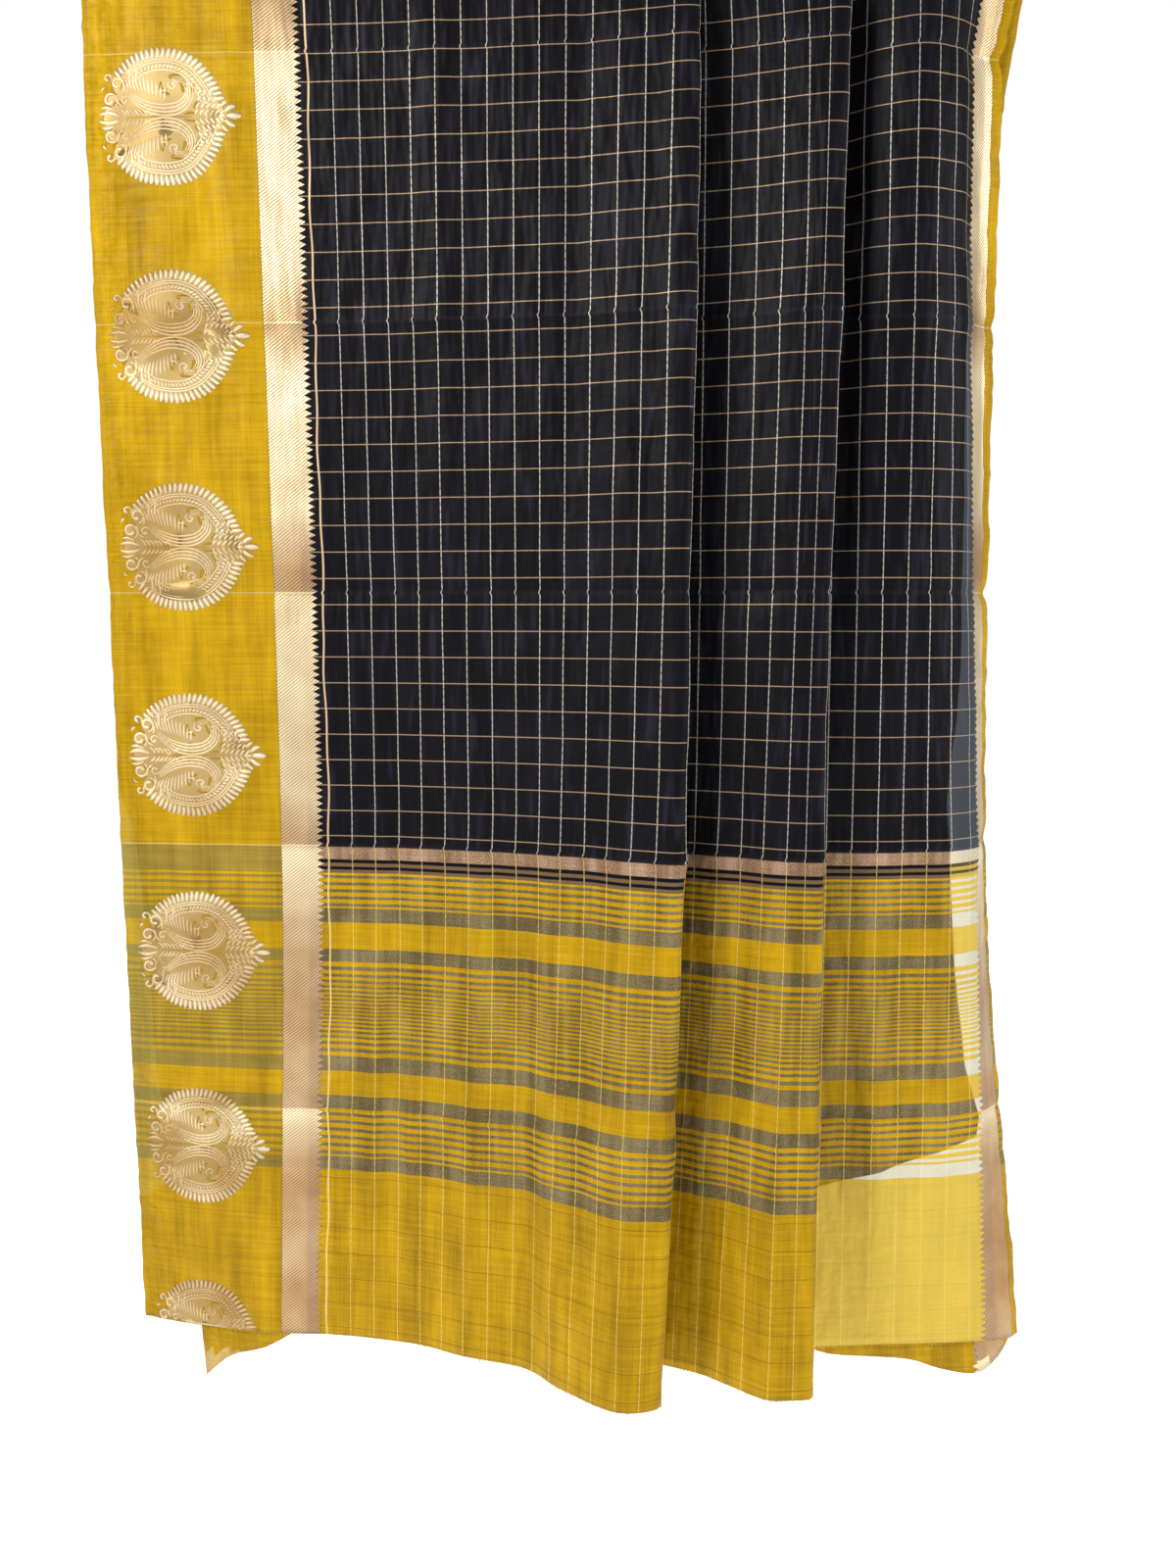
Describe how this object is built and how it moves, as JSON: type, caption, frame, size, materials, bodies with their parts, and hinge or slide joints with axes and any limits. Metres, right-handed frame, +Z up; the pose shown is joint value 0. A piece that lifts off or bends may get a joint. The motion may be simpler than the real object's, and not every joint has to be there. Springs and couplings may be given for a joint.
{
  "type": "checked saree hung over a rod",
  "caption": "Long woven drape folded double and hung over a round wooden rod, with borders, a striped end and open pleats.",
  "frame": {"origin": "centre of the rod, midway along its length, where the hanging saree is held", "axes": "+X along the rod towards the narrow border, +Y towards the back fall, +Z up"},
  "size_m": [1, 0.302, 1.4576],
  "materials": {
    "border_cloth": "slubbed mustard silk blend, soft sheen",
    "zari_cloth": "metallic gold twill, satin",
    "field_cloth": "black sheer silk blend with fine metallic checks",
    "pallu_cloth": "slubbed mustard silk blend with metallic stripes",
    "rod_wood": "oiled wood, satin"
  },
  "bodies": {
    "root": {"front_wide_border": "border_cloth", "front_wide_zari": "zari_cloth", "front_field": "field_cloth", "front_narrow_zari": "zari_cloth", "front_narrow_border": "border_cloth", "over_wide_border": "border_cloth", "over_wide_zari": "zari_cloth", "over_field": "field_cloth", "over_narrow_zari": "zari_cloth", "over_narrow_border": "border_cloth", "back_wide_border": "border_cloth", "back_wide_zari": "zari_cloth", "back_field": "field_cloth", "back_narrow_zari": "zari_cloth", "back_narrow_border": "border_cloth", "inner_front_wide_border": "border_cloth", "inner_front_wide_zari": "zari_cloth", "inner_front_field": "field_cloth", "inner_front_narrow_zari": "zari_cloth", "inner_front_narrow_border": "border_cloth", "inner_back_wide_border": "border_cloth", "inner_back_wide_zari": "zari_cloth", "inner_back_field": "field_cloth", "inner_back_narrow_zari": "zari_cloth", "inner_back_narrow_border": "border_cloth", "inner_over": "field_cloth", "pallu": "pallu_cloth", "rod": "rod_wood"}
  },
  "joints": []
}
